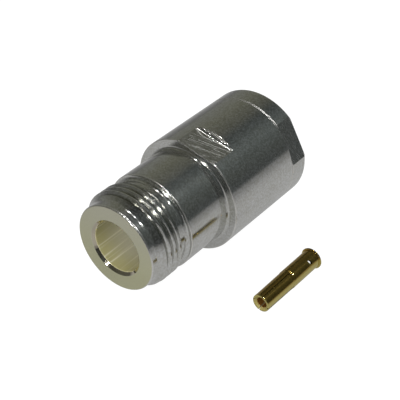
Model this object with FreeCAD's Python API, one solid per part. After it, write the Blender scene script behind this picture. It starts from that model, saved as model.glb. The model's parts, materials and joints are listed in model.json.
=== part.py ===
import FreeCAD, Part

# Female coaxial cable connector of the 5/8 inch coupling thread size, clamp type.
# Its centre contact is taken out and lies beside it on the same surface.
#
# Frame: the connector's axis is X. The origin is on the axis, on the mating reference plane
# at the bottom of the mating bore. -X points out of the mating mouth, +X to the cable end,
# and +Z is up. The connector lies on its side, so the surface is at Z = -body_radius.
# All sizes are millimetres.

import os
from math import asin, cos, degrees, hypot, radians, tan

from FreeCAD import Placement, Rotation, Vector

# Mating end of the body
mating_depth = 9.1            # from the front face back to the mating reference plane
mating_bore_radius = 4.15     # slides over the plug's outer contact
mouth_round = 0.5             # lead-in at the mouth
nose_radius = 7.05            # plain pilot in front of the thread
nose_length = 1.15
nose_edge_round = 0.18
nose_root_fillet = 0.3
thread_radius = 7.86          # crest of the 5/8-24 coupling thread
thread_pitch = 25.4 / 24.0    # both threads, 24 to the inch
lead_angle = 24.0             # taper that starts the thread
thread_stop = 5.7             # from the front face to the end of the thread
relief_radius = 7.15          # run-out groove behind the thread
relief_stop = 7.9             # from the front face to the barrel
relief_fillet = 0.5

# Barrel and large section of the body
barrel_radius = 7.94
barrel_edge_round = 0.2
shoulder_stop = 16.45         # from the front face to the shoulder
shoulder_fillet = 0.45
body_radius = 9.525           # 3/4 inch bar, shared with the nut's head
body_edge_round = 0.12
body_stop = 31.5              # from the front face to the body's rear end
seam_chamfer = 0.18           # both edges at the seam between body and nut

# Wrench flats
across_flats = 17.7           # one wrench fits body and nut
body_flat_length = 4.95       # from the shoulder back to the flat's end wall
body_flat_turn = 12.0         # degrees about +X from +Z
nut_flat_turn = 60.5

# Inside of the body, from the reference plane back
line_radius = 3.5             # outer conductor of the coaxial line
line_length = 2.5             # from the reference plane to the bead's seat
bead_radius = 4.27            # insulating bead, pressed in from behind
braid_room_radius = 5.9       # where the folded braid lies
braid_room_length = 2.6
rear_thread_step = 0.64       # the body's rear thread over the bore that holds the clamp stack
rear_thread_length = 6.6
inner_edge_chamfer = 0.2

# Centre contact
contact_length = 13.0
contact_tip_radius = 1.454    # the tines are closed in a little at the tip
contact_shank_radius = 1.545
contact_flange_radius = 1.80
contact_flange_length = 0.25
contact_tip_recess = 5.2      # seated, the tip stands this far in front of the reference plane
contact_edge_round = 0.08
tine_length = 6.4             # depth of the four slots
tine_step = 0.04              # small step at the root of the tines
slot_width = 0.15
slot_turn = 12.0              # degrees about the contact's axis
socket_radius = 0.84          # takes the plug's pin
socket_depth = 6.9
socket_countersink = 0.33
cup_radius = 1.2              # takes the cable's centre conductor
cup_depth = 4.5
cup_chamfer = 0.12
solder_hole_radius = 0.4
solder_hole_inset = 2.2       # from the contact's rear end
solder_hole_turn = 44.0

# Where the contact lies beside the connector
contact_tip_x = 1.72
contact_tip_y = -18.35
contact_yaw = -1.86           # degrees about +Z

# Braid clamp, gasket, washer and nut
dielectric_radius = 4.1       # clamp's front bore, round the cable's dielectric and braid
jacket_radius = 5.25          # clamp's rear bore and gasket, round the cable's jacket
clamp_tip_wall = 0.45
clamp_tip_gap = 0.5           # from the bead back to the clamp's tip
clamp_taper_radius = 5.5      # rear end of the cone that the braid folds over
clamp_flange_length = 1.8
clamp_jacket_depth = 1.3      # depth of the clamp's rear bore
vee_height = 1.2              # ridge on the clamp that seats in the gasket
vee_half_width = 0.75
gasket_wall = 1.97            # clamp, gasket and washer are all this much wider than the jacket
gasket_length = 3.8
washer_play = 0.45            # between the cable's jacket and the flat washer's hole
washer_thickness = 0.8
nut_play = 0.25               # between the cable's jacket and the nut's bore
nut_head_length = 3.57
nut_edge_round = 0.25
nut_mouth_chamfer = 0.4
nut_thread_chamfer = 0.45

# Clearances
press_clearance = 0.01        # bead in its seat, contact in the bead
stack_clearance = 0.08        # clamp, gasket and washer in the body, radial
vee_clearance = 0.02
thread_clearance = 0.05       # nut's thread in the body, radial
running_gap = 0.03            # between faces that turn on each other
same_place = 1e-7             # outline points nearer than this need no line between them

# Radii that follow from the cable's jacket
stack_radius = jacket_radius + gasket_wall
stack_bore_radius = stack_radius + stack_clearance
rear_thread_radius = stack_bore_radius + rear_thread_step
vee_radius = (jacket_radius + stack_radius) / 2
washer_radius = jacket_radius + washer_play
nut_bore_radius = jacket_radius + nut_play

# Places along the axis that follow from the sizes above
face_x = -mating_depth
thread_full_x = face_x + nose_length + (thread_radius - nose_radius) / tan(radians(lead_angle))
thread_stop_x = face_x + thread_stop
relief_x = face_x + relief_stop
shoulder_x = face_x + shoulder_stop
body_stop_x = face_x + body_stop
bead_rear_x = contact_length - contact_tip_recess
clamp_seat_x = bead_rear_x + braid_room_length
clamp_rear_x = clamp_seat_x + clamp_flange_length
gasket_rear_x = clamp_rear_x + gasket_length
washer_front_x = gasket_rear_x + running_gap
washer_rear_x = washer_front_x + washer_thickness
nut_front_x = washer_rear_x + running_gap
nut_head_x = body_stop_x + running_gap
nut_rear_x = nut_head_x + nut_head_length
rear_thread_x = body_stop_x - rear_thread_length
contact_flange_x = contact_length - contact_flange_length
surface_z = -body_radius


def rounded_outline(corners):
    """Closed wire in the XZ plane from (x, radius) or (x, radius, fillet) corners."""
    count = len(corners)
    places = [Vector(corner[0], 0, corner[1]) for corner in corners]
    starts, ends, middles = [], [], []
    for index, place in enumerate(places):
        fillet = corners[index][2] if len(corners[index]) > 2 else 0.0
        if not fillet:
            starts.append(place)
            ends.append(place)
            middles.append(None)
            continue
        back = (places[index - 1] - place).normalize()
        ahead = (places[(index + 1) % count] - place).normalize()
        half_turn = back.getAngle(ahead) / 2
        reach = fillet / tan(half_turn)
        inward = (back + ahead).normalize()
        centre = place + inward * hypot(fillet, reach)
        starts.append(place + back * reach)
        ends.append(place + ahead * reach)
        middles.append(centre - inward * fillet)
    edges = []
    for index in range(count):
        if middles[index] is not None:
            edges.append(Part.Arc(starts[index], middles[index], ends[index]).toShape())
        following = starts[(index + 1) % count]
        if (following - ends[index]).Length > same_place:
            edges.append(Part.LineSegment(ends[index], following).toShape())
    return Part.Wire(edges)


def turned(corners):
    """Solid of revolution about the X axis from a closed outline."""
    face = Part.Face(rounded_outline(corners))
    return face.revolve(Vector(0, 0, 0), Vector(1, 0, 0), 360)


def cylinder_x(radius, start_x, stop_x):
    """Plain cylinder on the X axis between two places."""
    return Part.makeCylinder(radius, stop_x - start_x, Vector(start_x, 0, 0), Vector(1, 0, 0))


def cone_x(start_radius, stop_radius, start_x, stop_x):
    """Cone on the X axis between two places."""
    return Part.makeCone(
        start_radius, stop_radius, stop_x - start_x, Vector(start_x, 0, 0), Vector(1, 0, 0)
    )


def flat_cutters(start_x, stop_x, turn):
    """Two blocks that leave a pair of wrench flats on the 3/4 inch round."""
    depth = body_radius
    cutters = []
    for side in (0.0, 180.0):
        block = Part.makeBox(
            stop_x - start_x, 2 * body_radius, depth,
            Vector(start_x, -body_radius, across_flats / 2),
        )
        block.rotate(Vector(0, 0, 0), Vector(1, 0, 0), turn + side)
        cutters.append(block)
    return cutters


def body_outside():
    """Corners of the body's outside, from the mouth back to the seam."""
    groove_x = thread_stop_x + (thread_radius - relief_radius)
    return [
        (face_x, mating_bore_radius, mouth_round),
        (face_x, nose_radius, nose_edge_round),
        (face_x + nose_length, nose_radius, nose_root_fillet),
        (thread_full_x, thread_radius),
        (thread_stop_x, thread_radius),
        (groove_x, relief_radius, relief_fillet),
        (relief_x, relief_radius, relief_fillet),
        (relief_x, barrel_radius, barrel_edge_round),
        (shoulder_x, barrel_radius, shoulder_fillet),
        (shoulder_x, body_radius, body_edge_round),
        (body_stop_x - seam_chamfer, body_radius),
        (body_stop_x, body_radius - seam_chamfer),
    ]


def body_inside():
    """Corners of the body's inside, from the seam forward to the mating bore."""
    bead_bore = bead_radius + press_clearance
    return [
        (body_stop_x, rear_thread_radius + inner_edge_chamfer),
        (body_stop_x - inner_edge_chamfer, rear_thread_radius),
        (rear_thread_x, rear_thread_radius),
        (rear_thread_x, stack_bore_radius),
        (clamp_seat_x, stack_bore_radius),
        (clamp_seat_x, braid_room_radius),
        (bead_rear_x, braid_room_radius, inner_edge_chamfer),
        (bead_rear_x, bead_bore + inner_edge_chamfer),
        (bead_rear_x - inner_edge_chamfer, bead_bore),
        (line_length, bead_bore),
        (line_length, line_radius),
        (0.0, line_radius, inner_edge_chamfer / 2),
        (0.0, mating_bore_radius),
    ]


def make_connector_body():
    """Turned body with its two wrench flats milled behind the shoulder."""
    body = turned(body_outside() + body_inside())
    flats = flat_cutters(shoulder_x, shoulder_x + body_flat_length, body_flat_turn)
    return body.cut(flats)


def make_front_insulator():
    """Bead with the contact's bore, its flange seat and a matching groove in the front face."""
    shank_bore = contact_shank_radius + press_clearance
    flange_bore = contact_flange_radius + 5 * press_clearance
    flange_seat_x = contact_flange_x - contact_tip_recess
    groove_wall = (line_radius - shank_bore) / 3
    groove_inner = shank_bore + groove_wall
    groove_outer = line_radius - groove_wall / 2
    groove_x = line_length + (bead_rear_x - line_length) / 6
    return turned([
        (line_length, shank_bore),
        (line_length, groove_inner),
        (groove_x, groove_inner),
        (groove_x, groove_outer),
        (line_length, groove_outer),
        (line_length, bead_radius - inner_edge_chamfer),
        (line_length + inner_edge_chamfer, bead_radius),
        (bead_rear_x - inner_edge_chamfer, bead_radius),
        (bead_rear_x, bead_radius - inner_edge_chamfer),
        (bead_rear_x, flange_bore),
        (flange_seat_x, flange_bore),
        (flange_seat_x, shank_bore),
    ])


def contact_blank():
    """Outside of the centre contact, tip at the origin and axis along +X."""
    tine_root_radius = contact_shank_radius - tine_step
    return turned([
        (0.0, 0.0),
        (0.0, contact_tip_radius, contact_edge_round),
        (tine_length, tine_root_radius),
        (tine_length + tine_step, contact_shank_radius),
        (contact_flange_x, contact_shank_radius, contact_edge_round),
        (contact_flange_x, contact_flange_radius, contact_edge_round),
        (contact_length, contact_flange_radius, contact_edge_round),
        (contact_length, 0.0),
    ])


def contact_hollows():
    """Pin socket with its countersink, four tine slots, solder cup and solder hole."""
    countersink_radius = socket_radius + socket_countersink
    hollows = [
        cylinder_x(socket_radius, 0.0, socket_depth),
        cone_x(countersink_radius, socket_radius, 0.0, socket_countersink),
        cylinder_x(cup_radius, contact_length - cup_depth, contact_length),
        cone_x(cup_radius, cup_radius + cup_chamfer, contact_length - cup_chamfer, contact_length),
    ]
    for quarter in (0, 90):
        slot = Part.makeBox(
            tine_length, slot_width, 4 * contact_shank_radius,
            Vector(0, -slot_width / 2, -2 * contact_shank_radius),
        )
        slot.rotate(Vector(0, 0, 0), Vector(1, 0, 0), slot_turn + quarter)
        hollows.append(slot)
    solder_hole = Part.makeCylinder(
        solder_hole_radius, 2 * contact_shank_radius,
        Vector(contact_length - solder_hole_inset, 0, 0), Vector(0, 0, 1),
    )
    solder_hole.rotate(Vector(0, 0, 0), Vector(1, 0, 0), solder_hole_turn)
    return hollows + [solder_hole]


def make_centre_contact():
    """Gold contact, lying on its tip and its flange beside the connector."""
    contact = contact_blank().cut(contact_hollows())
    grounded_length = contact_flange_x + contact_edge_round
    pitch = asin((contact_flange_radius - contact_tip_radius) / grounded_length)
    tip_height = contact_tip_radius * cos(pitch)
    lean = Rotation(Vector(0, 1, 0), -degrees(pitch))
    yaw = Rotation(Vector(0, 0, 1), contact_yaw)
    place = Vector(contact_tip_x, contact_tip_y, surface_z + tip_height)
    contact.Placement = Placement(place, yaw.multiply(lean))
    return contact


def make_braid_clamp():
    """Ring with a braid cone in front, a flange and a ridge that bites into the gasket."""
    tip_x = bead_rear_x + clamp_tip_gap
    jacket_stop_x = clamp_rear_x - clamp_jacket_depth
    return turned([
        (tip_x, dielectric_radius),
        (tip_x, dielectric_radius + clamp_tip_wall),
        (clamp_seat_x, clamp_taper_radius),
        (clamp_seat_x, stack_radius),
        (clamp_rear_x, stack_radius),
        (clamp_rear_x, vee_radius + vee_half_width),
        (clamp_rear_x + vee_height, vee_radius),
        (clamp_rear_x, vee_radius - vee_half_width),
        (clamp_rear_x, jacket_radius),
        (jacket_stop_x, jacket_radius),
        (jacket_stop_x, dielectric_radius),
    ])


def make_gasket():
    """Sealing ring with a groove for the clamp's ridge."""
    groove_half_width = vee_half_width + vee_clearance
    groove_depth = vee_height + vee_clearance
    return turned([
        (clamp_rear_x, jacket_radius),
        (clamp_rear_x, vee_radius - groove_half_width),
        (clamp_rear_x + groove_depth, vee_radius),
        (clamp_rear_x, vee_radius + groove_half_width),
        (clamp_rear_x, stack_radius),
        (gasket_rear_x, stack_radius),
        (gasket_rear_x, jacket_radius),
    ])


def make_clamp_washer():
    """Flat washer between gasket and nut."""
    outside = cylinder_x(stack_radius, washer_front_x, washer_rear_x)
    return outside.cut(cylinder_x(washer_radius, washer_front_x, washer_rear_x))


def make_clamp_nut():
    """Nut with a threaded tube in the body, a round head and a pair of wrench flats."""
    tube_radius = rear_thread_radius - thread_clearance
    nut = turned([
        (nut_front_x, nut_bore_radius),
        (nut_front_x, tube_radius - nut_thread_chamfer),
        (nut_front_x + nut_thread_chamfer, tube_radius),
        (nut_head_x, tube_radius),
        (nut_head_x, body_radius - seam_chamfer),
        (nut_head_x + seam_chamfer, body_radius),
        (nut_rear_x, body_radius, nut_edge_round),
        (nut_rear_x, nut_bore_radius + nut_mouth_chamfer),
        (nut_rear_x - nut_mouth_chamfer, nut_bore_radius),
    ])
    return nut.cut(flat_cutters(nut_head_x, nut_rear_x, nut_flat_turn))


def write_part(name, shape):
    """Check one solid and write its STEP file."""
    shape = shape.removeSplitter()
    solids = len(shape.Solids)
    print(f"{name}: {solids} solid, valid {shape.isValid()}, volume {shape.Volume:.2f} mm3")
    shape.exportStep(f"parts/{name}.step")


def main():
    """Make every piece of the connector."""
    os.makedirs("parts", exist_ok=True)
    write_part("connector_body", make_connector_body())
    write_part("front_insulator", make_front_insulator())
    write_part("centre_contact", make_centre_contact())
    write_part("braid_clamp", make_braid_clamp())
    write_part("gasket", make_gasket())
    write_part("clamp_washer", make_clamp_washer())
    write_part("clamp_nut", make_clamp_nut())


main()
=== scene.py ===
"""Looks of a female coaxial cable connector, with its centre contact taken out beside it.

The turned body and the clamp nut are rebuilt here with their real threads and get their finish.
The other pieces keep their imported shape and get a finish. Lengths are millimetres until a mesh is made.
"""

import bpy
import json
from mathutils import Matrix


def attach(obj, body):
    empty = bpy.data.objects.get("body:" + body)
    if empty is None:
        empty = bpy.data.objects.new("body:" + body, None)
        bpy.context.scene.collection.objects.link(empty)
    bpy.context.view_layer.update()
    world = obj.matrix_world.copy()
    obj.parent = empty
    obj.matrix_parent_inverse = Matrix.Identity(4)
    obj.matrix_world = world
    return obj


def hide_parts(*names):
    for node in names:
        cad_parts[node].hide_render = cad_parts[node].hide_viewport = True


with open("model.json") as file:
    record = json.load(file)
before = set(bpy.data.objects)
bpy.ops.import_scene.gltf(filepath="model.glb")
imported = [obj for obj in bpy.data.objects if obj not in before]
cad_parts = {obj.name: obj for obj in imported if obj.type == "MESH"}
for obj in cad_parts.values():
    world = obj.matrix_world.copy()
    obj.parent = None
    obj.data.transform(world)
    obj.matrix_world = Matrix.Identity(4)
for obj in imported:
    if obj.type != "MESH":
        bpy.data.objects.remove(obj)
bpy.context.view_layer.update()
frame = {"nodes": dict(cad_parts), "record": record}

import json
import logging
import math
from abc import ABC, abstractmethod
from dataclasses import dataclass, replace
from enum import Enum
from typing import Sequence, Union

import bmesh
import bpy
from mathutils import Matrix, Vector

MM = 0.001
COLUMNS = 240            # steps round the axis of a turned piece
ARC_STEP = 11.5          # degrees of a fillet between two rings
SUPPORT = 0.06           # plain ring beside a fillet, so that its shading stays there
LONG_STRETCH = 4         # a straight stretch longer than so many supports gets plain rings at its ends
WELD = 0.0008            # points nearer than this are one
SLIVER = WELD / 10       # edges shorter than this are dissolved
FLAT_COSINE = 0.999      # a face whose normal leans less than this from a flat's may lie on the flat
FLAT_SLACK = 0.02        # and is no farther from it than this
ROUND_SLACK = 0.003      # what is nearer than this to the full round is the round itself
LEAST_COSINE = 0.05      # keeps a flat's radius finite on the sides that the flat doesn't reach
NARROW_FLAT = 2          # columns each side of a flat's middle, up to which none is moved to its edge
SHARP = 38.0             # degrees between two faces past which their edge is drawn sharp
SHARP_AT_FLAT = 10.0     # the same on the border of a milled flat
WALL_SHARE = 0.2         # part of the cutter's run-out, beside its end, that is rubbed bright
RUN_OUT_STEPS = [math.radians(step) for step in range(0, 91, 15)]     # rings in the cutter's run-out
MILLED = "milled"        # face attribute: 1 on a milled wrench flat
WORN = "worn"            # face attribute: 1 on an outside edge that is rubbed bright

Colour = tuple[float, float, float]
Place = tuple[float, float, float]
Socket = bpy.types.NodeSocket
Value = Union[float, Socket]

log = logging.getLogger("connector")


class Ray(Enum):
    """The kinds of ray that the floor and the room answer in their own way."""

    CAMERA = "Is Camera Ray"
    GLOSSY = "Is Glossy Ray"
    TRANSMISSION = "Is Transmission Ray"


class Graph:
    """A node tree with short calls for the nodes used in this file."""

    def __init__(self, tree: bpy.types.NodeTree) -> None:
        """Start on an empty tree.

        Args:
            tree: the tree that receives the nodes.
        """
        self.tree = tree
        tree.nodes.clear()

    def add(self, kind: str, **settings: object) -> bpy.types.Node:
        """Add a node.

        Args:
            kind: Blender's name of the node type.
            settings: properties of the node, such as operation.

        Returns:
            The new node.
        """
        node = self.tree.nodes.new(kind)
        for name, value in settings.items():
            setattr(node, name, value)
        return node

    def feed(self, target: Socket, value: Value | Sequence[float]) -> None:
        """Link a socket to a target, or set the target's constant.

        Args:
            target: the input socket.
            value: an output socket, a number or a list of numbers.
        """
        if isinstance(value, bpy.types.NodeSocket):
            self.tree.links.new(value, target)
        else:
            target.default_value = value

    def math(self, operation: str, *values: Value) -> Socket:
        """Add a Math node.

        Args:
            operation: the operation's name.
            values: one to three inputs.

        Returns:
            The node's output.
        """
        node = self.add("ShaderNodeMath", operation=operation)
        for target, value in zip(node.inputs, values):
            self.feed(target, value)
        return node.outputs[0]

    def join_xyz(self, x: Value, y: Value, z: Value) -> Socket:
        """Make a vector from three numbers.

        Args:
            x: first number.
            y: second number.
            z: third number.

        Returns:
            The vector's socket.
        """
        node = self.add("ShaderNodeCombineXYZ")
        for target, value in zip(node.inputs, (x, y, z)):
            self.feed(target, value)
        return node.outputs[0]

    def split_xyz(self, vector: Socket) -> tuple[Socket, Socket, Socket]:
        """Take a vector apart.

        Args:
            vector: the vector's socket.

        Returns:
            Its three numbers.
        """
        node = self.add("ShaderNodeSeparateXYZ")
        self.feed(node.inputs[0], vector)
        return node.outputs[0], node.outputs[1], node.outputs[2]

    def noise(self, vector: Socket, scale: float, detail: float = 2.0, roughness: float = 0.5) -> Socket:
        """Add a Noise Texture.

        Args:
            vector: coordinates.
            scale: features for each unit of the coordinates.
            detail: octaves.
            roughness: weight of the finer octaves.

        Returns:
            The noise's value, about 0 to 1.
        """
        node = self.add("ShaderNodeTexNoise")
        self.feed(node.inputs["Vector"], vector)
        self.feed(node.inputs["Scale"], scale)
        self.feed(node.inputs["Detail"], detail)
        self.feed(node.inputs["Roughness"], roughness)
        return node.outputs[0]

    def length(self, first: Socket, second: Socket) -> Socket:
        """Give the length of a vector in a plane.

        Args:
            first: one of its numbers.
            second: the other one.

        Returns:
            The length.
        """
        squares = self.math("MULTIPLY_ADD", first, first, self.math("MULTIPLY", second, second))
        return self.math("SQRT", squares)

    def spread(
        self, value: Socket, low: float, high: float, to_low: Value = 0.0, to_high: Value = 1.0
    ) -> Socket:
        """Map a range onto another with a smooth step.

        Args:
            value: the number.
            low: start of its range.
            high: end of its range.
            to_low: result at low and below.
            to_high: result at high and above.

        Returns:
            The mapped number.
        """
        node = self.add("ShaderNodeMapRange", interpolation_type="SMOOTHSTEP")
        for target, item in zip(node.inputs, (value, low, high, to_low, to_high)):
            self.feed(target, item)
        return node.outputs[0]

    def blend(self, share: Value, first: Socket | Colour, second: Socket | Colour) -> Socket:
        """Mix two colours.

        Args:
            share: how much of the second colour.
            first: colour at 0.
            second: colour at 1.

        Returns:
            The mixed colour.
        """
        node = self.add("ShaderNodeMix", data_type="RGBA")
        self.feed(node.inputs["Factor"], share)
        for target, item in zip((node.inputs[6], node.inputs[7]), (first, second)):
            self.feed(target, item if isinstance(item, bpy.types.NodeSocket) else (*item, 1.0))
        return node.outputs[2]

    def ramp(self, value: Socket, stops: Sequence[tuple[float, Colour]]) -> Socket:
        """Add a Color Ramp.

        Args:
            value: the number that picks the colour.
            stops: places from 0 to 1 with their colours, in order.

        Returns:
            The colour.
        """
        node = self.add("ShaderNodeValToRGB")
        elements = node.color_ramp.elements
        while len(elements) < len(stops):
            elements.new(1.0)
        for element, (place, colour) in zip(elements, stops):
            element.position = place
            element.color = (*colour, 1.0)
        self.feed(node.inputs[0], value)
        return node.outputs[0]

    def ray(self, kind: Ray) -> Socket:
        """Give the share of a kind of ray, 0 or 1.

        Args:
            kind: the kind of ray.

        Returns:
            The Light Path socket.
        """
        return self.add("ShaderNodeLightPath").outputs[kind.value]

    def bump(self, height: Socket, rise: float, before: Socket | None = None) -> Socket:
        """Turn a height into a normal.

        Args:
            height: the height, about 0 to 1.
            rise: millimetres of surface for a height of 1.
            before: a normal that this one builds on.

        Returns:
            The normal.
        """
        node = self.add("ShaderNodeBump")
        self.feed(node.inputs["Height"], height)
        self.feed(node.inputs["Strength"], 1.0)
        self.feed(node.inputs["Distance"], rise * MM)
        if before is not None:
            self.feed(node.inputs["Normal"], before)
        return node.outputs[0]


@dataclass(frozen=True)
class Spot:
    """A point of a turned surface, in millimetres, with X along the axis."""

    place: Socket
    x: Socket
    y: Socket
    z: Socket
    radius: Socket


@dataclass(frozen=True)
class Skin:
    """What the shader gets at a point of the surface."""

    colour: Socket
    rough: Socket
    normal: Socket
    metal: Socket

    def shade(self, graph: Graph) -> None:
        """Feed the skin to the material's shader.

        Args:
            graph: the material's tree.
        """
        shader = graph.add("ShaderNodeBsdfPrincipled")
        graph.feed(shader.inputs["Metallic"], self.metal)
        graph.feed(shader.inputs["Base Color"], self.colour)
        graph.feed(shader.inputs["Roughness"], self.rough)
        graph.feed(shader.inputs["Normal"], self.normal)
        output = graph.add("ShaderNodeOutputMaterial")
        graph.feed(output.inputs[0], shader.outputs[0])


@dataclass(frozen=True)
class Pattern:
    """A noise pattern, and the window of its values that a mask of it shows."""

    scale: float
    detail: float = 2.0
    roughness: float = 0.5
    low: float = 0.0
    high: float = 1.0

    def noise(self, graph: Graph, vector: Socket) -> Socket:
        """Give the plain noise.

        Args:
            graph: the material's tree.
            vector: coordinates in millimetres.

        Returns:
            A number, about 0 to 1.
        """
        return graph.noise(vector, self.scale, self.detail, self.roughness)

    def window(self, graph: Graph, noise: Socket) -> Socket:
        """Spread the window of the noise over 0 to 1.

        Args:
            graph: the material's tree.
            noise: the plain noise.

        Returns:
            The mask.
        """
        return graph.spread(noise, self.low, self.high)

    def mask(self, graph: Graph, vector: Socket) -> Socket:
        """Give the mask at a place.

        Args:
            graph: the material's tree.
            vector: coordinates in millimetres.

        Returns:
            A number from 0 to 1.
        """
        return self.window(graph, self.noise(graph, vector))


@dataclass(frozen=True)
class Stance:
    """Where a finish's own axis lies, for patterns that follow a turned piece."""

    origin: Place = (0.0, 0.0, 0.0)
    turn: tuple[float, float, float] = (0.0, 0.0, 0.0)

    def millimetres(self, graph: Graph) -> Socket:
        """Give coordinates in millimetres, with X along the piece's axis.

        Args:
            graph: the material's tree.

        Returns:
            The coordinates.
        """
        place = graph.add("ShaderNodeMapping", vector_type="TEXTURE")
        graph.feed(place.inputs["Vector"], graph.add("ShaderNodeTexCoord").outputs["Object"])
        graph.feed(place.inputs["Location"], [value * MM for value in self.origin])
        graph.feed(place.inputs["Rotation"], self.turn)
        graph.feed(place.inputs["Scale"], (MM, MM, MM))
        return place.outputs[0]

    def spot(self, graph: Graph) -> Spot:
        """Give the point that is shaded.

        Args:
            graph: the material's tree.

        Returns:
            Its coordinates and its distance from the axis.
        """
        place = self.millimetres(graph)
        x, y, z = graph.split_xyz(place)
        return Spot(place, x, y, z, graph.length(y, z))


class Mark(ABC):
    """Something that lies on the plating or is cut into it."""

    @abstractmethod
    def put_on(self, graph: Graph, spot: Spot, skin: Skin) -> Skin:
        """Put the mark on a skin.

        Args:
            graph: the material's tree.
            spot: the point that is shaded.
            skin: the skin without the mark.

        Returns:
            The skin with it.
        """


@dataclass(frozen=True)
class Stroke:
    """One bright scratch on a wrench flat, from a point to another, across against the way along."""

    start: tuple[float, float]
    stop: tuple[float, float]
    width: float
    weight: float
    core_share: float = 0.3

    def mask(self, graph: Graph, along: Socket, across: Socket) -> Socket:
        """Give where the scratch is.

        Args:
            graph: the material's tree.
            along: place along the axis.
            across: place across the flat.

        Returns:
            A number from 0 to the scratch's weight.
        """
        reach = (self.stop[0] - self.start[0], self.stop[1] - self.start[1])
        square = reach[0] ** 2 + reach[1] ** 2
        from_x = graph.math("SUBTRACT", along, self.start[0])
        from_y = graph.math("SUBTRACT", across, self.start[1])
        share = graph.math("MULTIPLY", from_y, reach[1] / square)
        share = graph.math("MULTIPLY_ADD", from_x, reach[0] / square, share)
        share = graph.math("MINIMUM", graph.math("MAXIMUM", share, 0.0), 1.0)
        off_x = graph.math("MULTIPLY_ADD", share, -reach[0], from_x)
        off_y = graph.math("MULTIPLY_ADD", share, -reach[1], from_y)
        off = graph.length(off_x, off_y)
        return graph.spread(off, self.width * self.core_share, self.width, self.weight, 0.0)


@dataclass(frozen=True)
class FlatMarks(Mark):
    """The milling cutter's marks and the scratches on a pair of wrench flats."""

    turn: float
    strokes: tuple[Stroke, ...] = ()
    run_out_x: float | None = None
    cutting: Pattern = Pattern(4.2, 4.0, 0.8, 0.46, 0.66)
    cutting_lean: float = 0.33
    cutting_stretch: float = 0.12
    cutting_weight: float = 0.5
    scratch_rough: float = 0.30
    scratch_rise: float = 0.004
    chatter: Pattern = Pattern(6.5, 3.0, 0.75)
    chatter_stretch: float = 0.5
    chatter_rise: float = 0.03
    run_out_blend: float = 0.03
    run_out_rough: float = -0.04

    def put_on(self, graph: Graph, spot: Spot, skin: Skin) -> Skin:
        """Scratch the flats.

        Args:
            graph: the material's tree.
            spot: the point that is shaded.
            skin: the skin without the scratches.

        Returns:
            The skin with them.
        """
        turned = graph.add("ShaderNodeMapping", vector_type="TEXTURE")
        graph.feed(turned.inputs["Vector"], spot.place)
        graph.feed(turned.inputs["Rotation"], (math.radians(self.turn), 0.0, 0.0))
        along, across, _ = graph.split_xyz(turned.outputs[0])
        flat = graph.add("ShaderNodeAttribute", attribute_name=MILLED).outputs["Fac"]
        track = graph.math("MULTIPLY_ADD", across, self.cutting_lean, along)
        cuts = graph.join_xyz(track, graph.math("MULTIPLY", across, self.cutting_stretch), 0.0)
        scratch = graph.math("MULTIPLY", self.cutting.mask(graph, cuts), self.cutting_weight)
        for stroke in self.strokes:
            scratch = graph.math("MAXIMUM", scratch, stroke.mask(graph, along, across))
        scratch = graph.math("MULTIPLY", scratch, flat)
        scratched = replace(
            skin,
            rough=graph.math("MULTIPLY_ADD", scratch, self.scratch_rough, skin.rough),
            normal=graph.bump(scratch, self.scratch_rise, skin.normal),
        )
        if self.run_out_x is None:
            return scratched
        return self.run_out(graph, along, across, flat, scratched)

    def run_out(self, graph: Graph, along: Socket, across: Socket, flat: Socket, skin: Skin) -> Skin:
        """Add the chatter of the cutter where it ran out.

        Args:
            graph: the material's tree.
            along: place along the axis.
            across: place across the flat.
            flat: 1 on the milled faces.
            skin: the skin without the chatter.

        Returns:
            The skin with it.
        """
        first, last = self.run_out_x - self.run_out_blend, self.run_out_x + self.run_out_blend
        zone = graph.math("MULTIPLY", graph.spread(along, first, last), flat)
        waves = graph.join_xyz(graph.math("MULTIPLY", along, self.chatter_stretch), across, 0.0)
        height = graph.math("SUBTRACT", self.chatter.noise(graph, waves), 0.5)
        height = graph.math("MULTIPLY", height, zone)
        return replace(
            skin,
            rough=graph.math("MULTIPLY_ADD", zone, self.run_out_rough, skin.rough),
            normal=graph.bump(height, self.chatter_rise, skin.normal),
        )


@dataclass(frozen=True)
class PaintedRootShade(Mark):
    """Shade painted into the roots of a thread, with less of it on the lit side at -Y."""

    start: float
    stop: float
    root_radius: float
    rise: float = 0.46
    fade: float = 0.55
    # tint is the colour of the shade painted into the roots
    tint: Colour = (0.24, 0.24, 0.19)
    weight: float = 0.85
    lit_side_weight: float = 0.3
    lit_side_from: float = -0.1
    lit_side_to: float = -0.75

    def put_on(self, graph: Graph, spot: Spot, skin: Skin) -> Skin:
        """Paint shade into the roots.

        Args:
            graph: the material's tree.
            spot: the point that is shaded.
            skin: the skin without the painted shade.

        Returns:
            The skin with shade painted into the roots.
        """
        side = graph.math("DIVIDE", spot.y, spot.radius)
        weight = graph.spread(side, self.lit_side_to, self.lit_side_from, self.lit_side_weight, self.weight)
        deep = graph.spread(spot.radius, self.root_radius, self.root_radius + self.rise, weight, 0.0)
        behind = graph.spread(spot.x, self.start - self.fade, self.start)
        before = graph.spread(spot.x, self.stop, self.stop + self.fade, 1.0, 0.0)
        # painted shade: the roots are darkened towards tint, less on the lit side at -Y
        painted_shade = graph.math("MULTIPLY", deep, graph.math("MULTIPLY", behind, before))
        return replace(skin, colour=graph.blend(painted_shade, skin.colour, self.tint))


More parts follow.
